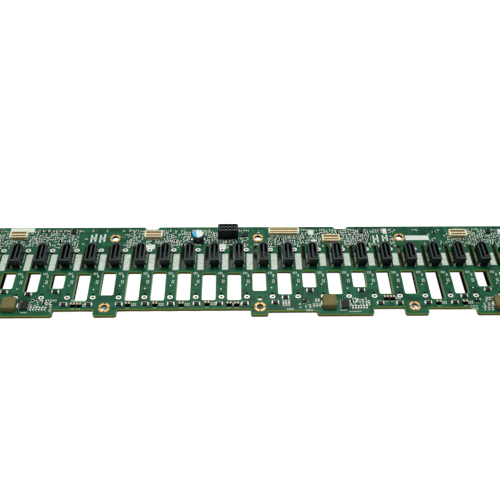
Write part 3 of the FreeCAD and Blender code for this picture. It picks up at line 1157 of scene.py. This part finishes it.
@dataclass(frozen=True)
class DrumCoil:
    """A small coil: a black drum with a brown top between two cream caps."""

    radius: float = 1.9 * MM
    height: float = 1.6 * MM
    top: Size = (1.4 * MM, 1.7 * MM, 0.1 * MM)
    cap: Size = (1.0 * MM, 1.6 * MM, 0.22 * MM)
    cap_offset: float = 1.1 * MM
    cap_bevel: float = 0.08 * MM
    top_shift: float = 0.45 * MM

    def pattern(self) -> Pattern:
        """Make the part about its middle, standing on the board.

        Returns:
            The shapes to stamp.
        """
        one = Tray("coil")
        disc(one.mesh(Look.MATT), (0.0, 0.0, self.height / 2), self.radius, self.height)
        top = (0.0, self.top_shift, self.height + self.top[2] / 2)
        cuboid(one.mesh(Look.CERAMIC), top, self.top)
        for side in (-1, 1):
            place = (side * self.cap_offset, self.top_shift, self.height + self.cap[2] / 2)
            cuboid(one.mesh(Look.LENS), place, self.cap, self.cap_bevel)
        return one.pattern()


@dataclass
class BigParts:
    """The inductors, the capacitor and the chip packages, with their terminals."""

    plan: BoardPlan
    inductor_tab: Size = (0.8 * MM, 3.4 * MM, 0.9 * MM)
    capacitor_tab: Size = (1.5 * MM, 1.7 * MM, 0.45 * MM)
    tab_bevel: float = 0.08 * MM
    tab_reach: float = 0.35
    lead: Size = (0.95 * MM, 0.42 * MM, 0.3 * MM)
    lead_taper: float = 0.8
    lead_reach: float = 0.42
    lead_pitch: float = 1.0 * MM
    leadless_width: float = 5.0 * MM
    leadless_reach: float = 0.1
    mark_radius: float = 0.3 * MM
    mark_height: float = 0.02 * MM

    def build(self) -> None:
        """Dress the CAD nodes and add their terminals."""
        dress("power_inductors", Look.FERRITE)
        dress("polymer_capacitor", Look.CAN)
        dress("chip_packages", Look.CHIP)
        tray = Tray("terminal")
        for low, high in islands("power_inductors"):
            self.tabs(tray, low, high, self.inductor_tab)
        self.tabs(tray, *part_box("polymer_capacitor"), self.capacitor_tab)
        for low, high in islands("chip_packages"):
            self.leads(tray, low, high)
        tray.finish()

    def tabs(self, tray: Tray, low: Vector, high: Vector, size: Size) -> None:
        """Stand a soldered tab on the left and right of a part.

        Args:
            tray: The tray that takes them.
            low: The part's lowest corner.
            high: Its highest corner.
            size: The size of one tab.
        """
        middle = (low + high) / 2
        for side in (-1, 1):
            x = middle.x + side * ((high.x - low.x) / 2 + size[0] * self.tab_reach)
            place = (x, middle.y, self.plan.high.z + size[2] / 2)
            cuboid(tray.mesh(Look.TIN), place, size, self.tab_bevel)

    def leads(self, tray: Tray, low: Vector, high: Vector) -> None:
        """Set leads along a chip's two longer sides, and a dot by the first of them.

        Args:
            tray: The tray that takes them.
            low: The chip's lowest corner.
            high: Its highest corner.
        """
        size = high - low
        upright = size.y > size.x
        along, across = (size.y, size.x) if upright else (size.x, size.y)
        leadless = across > self.leadless_width
        reach = self.leadless_reach if leadless else self.lead_reach
        count = max(2, round(along / self.lead_pitch) - (0 if leadless else 1))
        one = Tray("lead")
        for number in range(count):
            y = (number - (count - 1) / 2) * along / (count + 0.4)
            for side in (-1, 1):
                x = side * (across / 2 + self.lead[0] * reach)
                foot = (x, y, self.lead[2] / 2)
                cuboid(one.mesh(Look.TIN), foot, self.lead, taper=self.lead_taper)
        turn = 0.0 if upright else math.pi / 2
        middle = (low.x + size.x / 2, low.y + size.y / 2, self.plan.high.z)
        tray.stamp(one.pattern(), at(*middle, turn))
        inset = 3 * self.mark_radius
        mark = (low.x + inset, high.y - inset, high.z)
        disc(tray.mesh(Look.INK), mark, self.mark_radius, self.mark_height)


@dataclass
class SmallParts:
    """Every small soldered part that has a place of its own, set out in millimetres."""

    plan: BoardPlan
    window_parts: tuple[tuple[int, float, float], ...] = (
        (2, 0.2, -3.6), (3, -0.4, -2.6), (4, 0.1, -3.6), (13, 0.0, -3.6), (14, -0.3, -3.6),
        (16, 0.3, -3.6), (20, 0.4, -3.1), (21, 0.5, -3.6),
    )
    edge_parts: tuple[Place, ...] = (
        (-133.3, -31.6), (-116.4, -31.7), (-95.9, -31.6), (-78.2, -31.6), (-60.7, -31.6),
        (-43.2, -31.6), (-27.8, -31.6), (-10.3, -31.6), (10.5, -30.9), (82.4, -31.9),
        (95.6, -31.9), (115.2, -31.7), (133.5, -31.7),
    )
    coils: tuple[Place, ...] = (
        (-127.0, -32.3), (-122.8, -32.3), (-89.9, -31.9), (-71.4, -31.9), (-53.6, -32.0),
        (-36.1, -31.6), (-21.1, -32.1), (-16.0, -32.2), (86.9, -27.5), (91.1, -27.5),
        (122.3, -31.7), (140.5, -31.7),
    )
    rows: tuple[tuple[float, float, int, float], ...] = (
        (-154.6, -35.4, 6, 1.95), (63.0, -35.4, 6, 1.9),
    )
    capacitors: tuple[Place, ...] = (
        (16.0, -30.2), (17.9, -30.2), (19.8, -30.2), (16.0, -32.8), (17.9, -32.8),
        (19.8, -32.8), (38.4, -29.4), (40.2, -29.4), (36.6, -33.6), (38.7, -33.6),
        (40.7, -33.6), (156.2, -28.7), (158.3, -28.7), (160.4, -28.7), (156.4, -33.6),
        (158.6, -34.0), (152.8, -37.2), (155.6, -37.2), (158.0, -37.4), (-144.6, -31.2),
        (-142.3, -31.0), (-141.5, -33.0), (-177.5, -31.0), (-177.5, -35.0), (66.6, -29.8),
        (70.4, -29.8), (74.2, -31.0), (34.0, -34.4), (-141.4, -36.6),
    )
    row_turn: float = math.radians(80)
    strip_part: Place = (1.2, -7.0)
    test_point_x: float = -0.4
    test_points: tuple[float, ...] = (-14.8, -18.6, -15.0, -17.8, -15.4)
    test_point: Place = (0.45 * MM, 0.08 * MM)

    def build(self) -> None:
        """Place every part."""
        tray = Tray("small_part")
        top = self.plan.high.z
        link = EndCapPart("link", Look.CHIP, (4.5, 2.4, 1.1), 0.5, 0.2).pattern()
        row_part = EndCapPart("in_row", Look.CERAMIC, (2.4, 1.05, 1.1), 0.75, 0.2).pattern()
        coil = DrumCoil().pattern()
        lone = EndCapPart("lone", Look.CERAMIC, (2.0, 1.25, 0.9), 0.5, 0.25).pattern()
        tiny = EndCapPart("tiny", Look.CERAMIC, (1.7, 1.0, 0.5), 0.5, 0.15).pattern()
        for number, x, y in self.window_parts:
            window = self.plan.windows[number - 1]
            middle = (window.x_low + window.x_high) / 2
            tray.stamp(link, at(middle + x * MM, window.y_low + y * MM, top))
        row = [
            (x + number * pitch, y) for x, y, count, pitch in self.rows for number in range(count)
        ]
        for shape, places, turn in (
            (link, self.edge_parts, 0.0), (coil, self.coils, 0.0),
            (row_part, row, self.row_turn), (lone, self.capacitors, math.pi / 2),
        ):
            for place in places:
                tray.stamp(shape, at(*self.plan.spot(place), turn))
        radius, height = self.test_point
        for bay in self.plan.bays:
            x, y = self.strip_part
            tray.stamp(tiny, at(bay.x + x * MM, y * MM, top, math.pi / 2))
            point = self.test_points[bay.number % len(self.test_points)]
            centre = (bay.x + self.test_point_x * MM, point * MM, top + height / 2)
            disc(tray.mesh(Look.TIN), centre, radius, height, segments=12)
        tray.finish(40.0)


@dataclass
class PartFields:
    """The strips where small parts, vias and print stand thick on the board.

    A patch has its four sides in millimetres, and a near field its share of parts too.
    """

    plan: BoardPlan
    seed: int = 24
    cell: float = 2.05 * MM
    jitter: float = 0.4 * MM
    edge: float = 1.3 * MM
    clear_margin: float = 0.75 * MM
    hole_room: float = 9.4 * MM
    pad_room: float = 5.4 * MM
    window_margin: float = 1.5 * MM
    slot_shift: float = 2.2 * MM
    slot_half: float = 2.1 * MM
    slot_end: float = 22.6 * MM
    notches: Place = (-79.0 * MM, 62.1 * MM)
    notch_room: Place = (12.0 * MM, 6.4 * MM)
    patch_room: Place = (1.0, 0.8)
    ladder_room: Place = (3.2, 2.6)
    open_patches: tuple[Sides, ...] = (
        (-131.0, -96.0, 18.0, 41.0), (-6.5, 8.0, 24.0, 41.0), (102.0, 141.0, 18.0, 41.0),
    )
    open_share: float = 0.12
    thick_share: float = 0.86
    far_low: float = 19.6 * MM
    near_fields: tuple[tuple[float, float, float, float, float], ...] = (
        (-213.0, -177.0, -39.0, -24.0, 0.4), (-155.8, -140.5, -33.6, -27.0, 0.7),
        (26.0, 41.0, -35.6, -27.5, 0.35), (61.5, 76.0, -33.6, -26.5, 0.75),
        (150.5, 160.0, -36.0, -24.0, 0.35), (172.0, 213.0, -39.0, -24.0, 0.4),
    )
    ticks: int = 3
    tick: Size = (0.3 * MM, 1.2 * MM, 0.04 * MM)
    tick_pitch: float = 0.6 * MM
    bar: Size = (1.9 * MM, 0.55 * MM, 0.04 * MM)
    via: Place = (0.3 * MM, 0.06 * MM)

    def build(self) -> None:
        """Fill the far strip thickly and the near fields more thinly."""
        draw = random.Random(self.seed)
        tray = Tray("field")
        shapes = self.shapes()
        clear = list(self.keep_clear())
        low, high = self.plan.low, self.plan.high
        far = Patch(low.x + self.edge, high.x - self.edge, self.far_low, high.y - self.edge)
        thin = [Patch(*(side * MM for side in sides)) for sides in self.open_patches]
        fields = [(far, self.thick_share)]
        for *sides, share in self.near_fields:
            fields.append((Patch(*(side * MM for side in sides)), share))
        for patch, share in fields:
            for x, y in self.grid(draw, patch):
                in_open = patch is far and any(spot.holds(x, y) for spot in thin)
                limit = self.open_share if in_open else share
                chance, kind, turn = draw.random(), draw.random(), draw.random()
                if chance <= limit and not any(spot.holds(x, y) for spot in clear):
                    place = at(x, y, high.z, math.pi / 2 if turn < 0.5 else 0.0)
                    for weight, shape in shapes:
                        kind -= weight
                        if kind <= 0:
                            tray.stamp(shape, place)
                            break
        tray.finish()

    def shapes(self) -> list[tuple[float, Pattern]]:
        """Make the field's kinds of part.

        Returns:
            Each kind's share of the parts, with its shapes.
        """
        ticks, bar, via = Tray("ticks"), Tray("bar"), Tray("via")
        for x in spread(self.ticks, self.tick_pitch):
            cuboid(ticks.mesh(Look.INK), (x, 0.0, self.tick[2] / 2), self.tick)
        cuboid(bar.mesh(Look.INK), (0.0, 0.0, self.bar[2] / 2), self.bar)
        radius, height = self.via
        disc(via.mesh(Look.TIN), (0.0, 0.0, height / 2), radius, height, segments=8)
        resistor = EndCapPart("resistor", Look.MATT, (1.75, 0.95, 0.45), 0.45, 0.1)
        capacitor = EndCapPart("capacitor", Look.CERAMIC, (1.7, 0.95, 0.7), 0.45, 0.1)
        block = EndCapPart("dark_block", Look.MATT, (2.1, 1.6, 0.9), 0.25, 0.1)
        kinds = (resistor, capacitor, block, ticks, bar, via)
        shares = (0.24, 0.2, 0.12, 0.17, 0.14, 0.13)
        return [(share, kind.pattern()) for share, kind in zip(shares, kinds)]

    def keep_clear(self) -> Iterator[Patch]:
        """Mark every place that the fields stay out of.

        Yields:
            Each rectangle.
        """
        for node in frame["nodes"]:
            if node.startswith(("signal_header", "mezzanine", "power_header_housing", "polymer")):
                yield Patch.under(*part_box(node), self.clear_margin)
        for node in ("power_inductors", "chip_packages"):
            for low, high in islands(node):
                yield Patch.under(low, high, self.clear_margin)
        for hole in self.plan.screw_holes:
            yield Patch.about(hole.x, hole.y, self.hole_room, self.hole_room)
        for bay in self.plan.bays:
            for end in (-1, 1):
                y = bay.receptacle.y + end * BareBoard.pad_spacing / 2
                yield Patch.about(bay.x, y, self.pad_room, self.pad_room)
        margin = self.window_margin
        for window in self.plan.windows:
            low, high = window.x_low - margin, window.x_high + margin
            yield Patch(low, high, window.y_low - margin, window.y_high + margin)
            slot = (window.x_low + window.x_high) / 2 - self.slot_shift
            yield Patch(slot - self.slot_half, slot + self.slot_half, 0.0, self.slot_end)
        for marks, room in ((Print.patches, self.patch_room), (Print.ladders, self.ladder_room)):
            for x, y, width, depth in marks:
                size = ((width + room[0]) * MM, (depth + room[1]) * MM)
                yield Patch.about(x * MM, y * MM, *size)
        for x in self.notches:
            yield Patch.about(x, self.plan.high.y, *self.notch_room)

    def grid(self, draw: random.Random, patch: Patch) -> Iterator[Place]:
        """Walk a jittered grid over a rectangle.

        Args:
            draw: The source of chance.
            patch: The rectangle.

        Yields:
            One place for each cell.
        """
        for column in range(int((patch.x_high - patch.x_low) / self.cell)):
            for row in range(int((patch.y_high - patch.y_low) / self.cell)):
                x = patch.x_low + (column + 0.5) * self.cell + draw.uniform(-1, 1) * self.jitter
                y = patch.y_low + (row + 0.5) * self.cell + draw.uniform(-1, 1) * self.jitter
                yield x, y


# ---- print ----


@dataclass
class Print:
    """White screen print and the paper labels beside the headers, set out in millimetres.

    A patch or a ladder has its middle and its size. Marks and rows of dots have their
    middle, their columns and their rows.
    """

    plan: BoardPlan
    ink_height: float = 0.04 * MM
    paper_height: float = 0.1 * MM
    label_x: Place = (0.15 * MM, 4.45 * MM)
    label_y_long: Place = (-1.2 * MM, 13.9 * MM)
    label_y_short: Place = (2.1 * MM, 13.9 * MM)
    long_labels: int = 14
    patches: ClassVar[tuple[Sides, ...]] = (
        (-79.0, 21.2, 6.9, 4.5), (-26.2, 21.2, 5.5, 4.9), (118.7, 29.1, 17.5, 4.6),
        (39.8, 35.2, 4.1, 5.1), (41.4, 26.7, 4.2, 2.0), (95.4, 36.1, 3.0, 5.2),
        (182.4, 35.5, 3.0, 4.2), (-175.5, 38.4, 17.7, 4.2),
    )
    ladders: ClassVar[tuple[Sides, ...]] = (
        (-121.6, 30.0, 4.2, 7.8), (-115.0, 29.8, 4.2, 7.8), (87.6, 28.2, 4.2, 7.6),
        (94.6, 28.9, 4.2, 6.4),
    )
    ladder_bar: float = 0.28
    ladder_shift: float = 0.06
    rung_shift: float = 0.07
    rung_depth: float = 0.08
    coil_mark: Place = (4.0, 0.2)
    coil_pitch: float = 1.25
    coil_rise: Place = (2.4, -2.7)
    coil_rule: Place = (2.4, 0.3)
    link_rise: float = 2.0
    link_rule: Place = (2.8, 0.3)
    stroke: Place = (0.52, 0.66)
    bay_pitch: float = 1.1
    bay_marks: tuple[tuple[float, float, int, int], ...] = (
        (-1.0, -4.3, 3, 2), (1.1, -11.8, 2, 3),
    )
    row_pitch: float = 0.95
    dotted_rows: tuple[tuple[float, float, int, int], ...] = (
        (-159.0, -38.0, 5, 1), (-124.0, -28.4, 10, 2), (56.0, -37.6, 5, 1),
        (64.4, -38.8, 9, 1), (146.0, -34.6, 6, 1), (-140.8, -27.9, 5, 2),
        (20.5, -36.4, 5, 2), (33.4, -37.4, 5, 2), (146.0, -37.0, 5, 2),
    )

    def build(self) -> None:
        """Lay the labels and all the ink."""
        labels = Tray("label")
        left, right = self.label_x
        for bay in self.plan.bays:
            near, far = self.label_y_long if bay.number <= self.long_labels else self.label_y_short
            x, z = bay.x + (left + right) / 2, self.plan.high.z + self.paper_height / 2
            size = (right - left, far - near, self.paper_height)
            cuboid(labels.mesh(Look.PAPER), (x, (near + far) / 2, z), size)
        labels.finish()
        ink = Tray("print")
        for patch in self.patches:
            self.block(ink, *patch)
        for ladder in self.ladders:
            self.ladder(ink, *ladder)
        for bay in self.plan.bays:
            for x, y, columns, rows in self.bay_marks:
                self.dots(ink, bay.x / MM + x, y, columns, rows, self.bay_pitch)
        across, along = self.coil_mark
        for x, y in SmallParts.coils:
            self.dots(ink, x + across, y + along, 3, 2, self.coil_pitch)
            for rise in self.coil_rise:
                self.block(ink, x, y + rise, *self.coil_rule)
        for x, y in SmallParts.edge_parts:
            self.block(ink, x, y + self.link_rise, *self.link_rule)
        for row in self.dotted_rows:
            self.dots(ink, *row, self.row_pitch)
        ink.finish()

    def block(self, ink: Tray, x: float, y: float, width: float, depth: float) -> None:
        """Print one solid patch, from millimetres."""
        centre = self.plan.spot((x, y), self.ink_height / 2)
        cuboid(ink.mesh(Look.INK), centre, (width * MM, depth * MM, self.ink_height))

    def ladder(self, ink: Tray, x: float, y: float, width: float, depth: float) -> None:
        """Print a mark of two upright bars with two rungs between them.

        Args:
            ink: The tray that takes it.
            x: Middle along the board.
            y: Middle across the board.
            width: Overall width.
            depth: Overall depth.
        """
        bar, rung = width * self.ladder_bar, depth * self.rung_depth
        for side in (-1, 1):
            shift = side * depth * self.ladder_shift
            self.block(ink, x + side * (width - bar) / 2, y + shift, bar, depth)
            self.block(ink, x, y + side * depth * self.rung_shift, width - bar, rung)

    def dots(self, ink: Tray, x: float, y: float, columns: int, rows: int, pitch: float) -> None:
        """Print a group of short strokes, like small lettering seen from afar.

        Args:
            ink: The tray that takes them.
            x: Middle along the board.
            y: Middle across the board.
            columns: Strokes in a row.
            rows: Rows.
            pitch: Distance between strokes.
        """
        width, depth = (pitch * share for share in self.stroke)
        for across in spread(columns, pitch, x):
            for along in spread(rows, pitch, y):
                self.block(ink, across, along, width, depth)


# ---- stage ----


@dataclass
class Stage:
    """Pale floor, soft studio light and the camera."""

    plan: BoardPlan
    lens_mm: float = 47.51
    distance: float = 482.5 * MM
    elevation: float = math.radians(48.0)
    yaw: float = math.radians(1.572)
    roll: float = math.radians(0.904)
    target: Place = (-6.08, 17.63)
    floor_size: float = 12.0
    room_light: float = 0.36
    lamp: Size = (0.0, 0.36, 1.2)
    lamp_size: float = 0.4
    lamp_power: float = 10.6
    # Where shade is painted on the floor under the board, across Y and along X.
    painted_shade_y: Sides = (6.5 * MM, 9.5 * MM, 33.0 * MM, 37.0 * MM)
    painted_shade_x: Place = (208.0 * MM, 214.0 * MM)
    spot_shade: float = 0.08
    spot_span: Place = (3.5 * MM, 6.0 * MM)

    def build(self) -> None:
        """Make the camera, the floor, the lamp and the world."""
        self.camera()
        self.floor()
        data = bpy.data.lights.new("key_lamp", "AREA")
        data.size = self.lamp_size
        data.energy = self.lamp_power
        lamp = put("key_lamp", data)
        lamp.location = self.lamp
        lamp.rotation_euler = (-Vector(self.lamp)).to_track_quat("-Z", "Y").to_euler()
        self.world()
        bpy.context.scene.view_settings.view_transform = "Standard"

    def camera(self) -> None:
        """Place the camera above the near edge, looking down at the board."""
        forward = Vector((0.0, math.cos(self.elevation), -math.sin(self.elevation)))
        forward.rotate(Matrix.Rotation(-self.yaw, 3, "Z"))
        level = Vector((math.cos(self.yaw), -math.sin(self.yaw), 0.0))
        upward = level.cross(forward)
        right = math.cos(self.roll) * level + math.sin(self.roll) * upward
        up = math.cos(self.roll) * upward - math.sin(self.roll) * level
        data = bpy.data.cameras.new("camera")
        data.lens = self.lens_mm
        data.clip_start = 0.01
        data.clip_end = 50.0
        camera = put("camera", data)
        turn = Matrix((right, up, -forward)).transposed().to_4x4()
        eye = self.plan.spot(self.target) - forward * self.distance
        camera.matrix_world = Matrix.Translation(eye) @ turn
        bpy.context.scene.camera = camera

    def floor(self) -> None:
        """Lay a floor that the camera sees full white, with shade painted dark under the board.

        It keeps the board's soft shadow.
        """
        mesh = bmesh.new()
        bmesh.ops.create_grid(mesh, x_segments=1, y_segments=1, size=self.floor_size / 2)
        data = bpy.data.meshes.new("floor")
        mesh.to_mesh(data)
        mesh.free()
        material = bpy.data.materials.new("white_floor")
        material.use_nodes = True
        data.materials.append(material)
        put("floor", data)
        nodes = Nodes(material.node_tree)
        shade = self.shade(nodes)
        # The painted shade turns the floor's paint towards this dark grey.
        ends = {0: shade, 6: linear("#77746a"), 7: linear("#a8a8a8")}
        colour = nodes.add("Mix", ends, 2, data_type="RGBA")
        paint = nodes.tree.nodes["Principled BSDF"]
        nodes.fill(paint, {"Roughness": 0.9, "Base Color": colour})
        seen = nodes.add("LightPath", out="Is Camera Ray")
        for kind in ("Is Glossy Ray", "Is Transmission Ray"):
            ray = nodes.add("LightPath", out=kind)
            seen = nodes.add("Math", {0: seen, 1: ray}, operation="MAXIMUM")
        glow = nodes.add("Math", {0: seen, 1: shade}, operation="MULTIPLY")
        light = nodes.add("Emission", {"Color": WHITE, "Strength": glow})
        total = nodes.add("AddShader", {0: paint.outputs[0], 1: light})
        nodes.fill(nodes.tree.nodes["Material Output"], {"Surface": total})

    def shade(self, nodes: Nodes) -> Socket:
        """Paint shade on the floor between the receptacles and under the near screw holes.

        Args:
            nodes: The floor's nodes.

        Returns:
            How white the floor is.
        """
        place = nodes.add("NewGeometry", out="Position")
        x, y = (nodes.add("SeparateXYZ", {0: place}, axis) for axis in range(2))
        side = nodes.add("Math", {0: x}, operation="ABSOLUTE")
        start, near, far, end = self.painted_shade_y
        inner, outer = self.painted_shade_x
        dark = 1.0
        for value, pale, full in ((y, start, near), (y, end, far), (side, outer, inner)):
            ramp = nodes.add("MapRange", {0: value, "From Min": pale, "From Max": full})
            dark = nodes.add("Math", {0: ramp, 1: dark}, operation="MULTIPLY")
        pale = nodes.add("MapRange", {0: dark, "To Min": 1.0, "To Max": 0.0})
        near, far = self.spot_span
        # Painted shade spots where the near screw holes look down on the floor.
        for hole in self.plan.screw_holes:
            if hole.y < 0:
                below = (hole.x, hole.y + self.plan.high.z / math.tan(self.elevation), 0.0)
                away = nodes.add("VectorMath", {0: place, 1: below}, "Value", operation="DISTANCE")
                span = {0: away, "From Min": near, "From Max": far, "To Min": self.spot_shade}
                spot = nodes.add("MapRange", span)
                pale = nodes.add("Math", {0: pale, 1: spot}, operation="MULTIPLY")
        return pale

    def world(self) -> None:
        """Fill the room with even pale light, and show the camera pure white."""
        world = bpy.data.worlds.new("pale_room")
        bpy.context.scene.world = world
        world.use_nodes = True
        nodes = Nodes(world.node_tree)
        seen = nodes.add("LightPath", out="Is Camera Ray")
        strength = nodes.add("MapRange", {0: seen, "To Min": self.room_light})
        light = {"Color": WHITE, "Strength": strength}
        nodes.fill(nodes.tree.nodes["Background"], light)


def main() -> None:
    """Build the looks in order, from the board outwards."""
    logging.basicConfig(level=logging.INFO, format="%(message)s")
    plan = BoardPlan.from_frame()
    for part in (
        Stage, BareBoard, SignalHeaders, DriveReceptacles, PowerHeader, Mezzanines, BigParts,
        SmallParts, PartFields, Print,
    ):
        part(plan).build()
        LOG.info("%s is built", part.__name__)


if __name__ == "__main__":
    main()
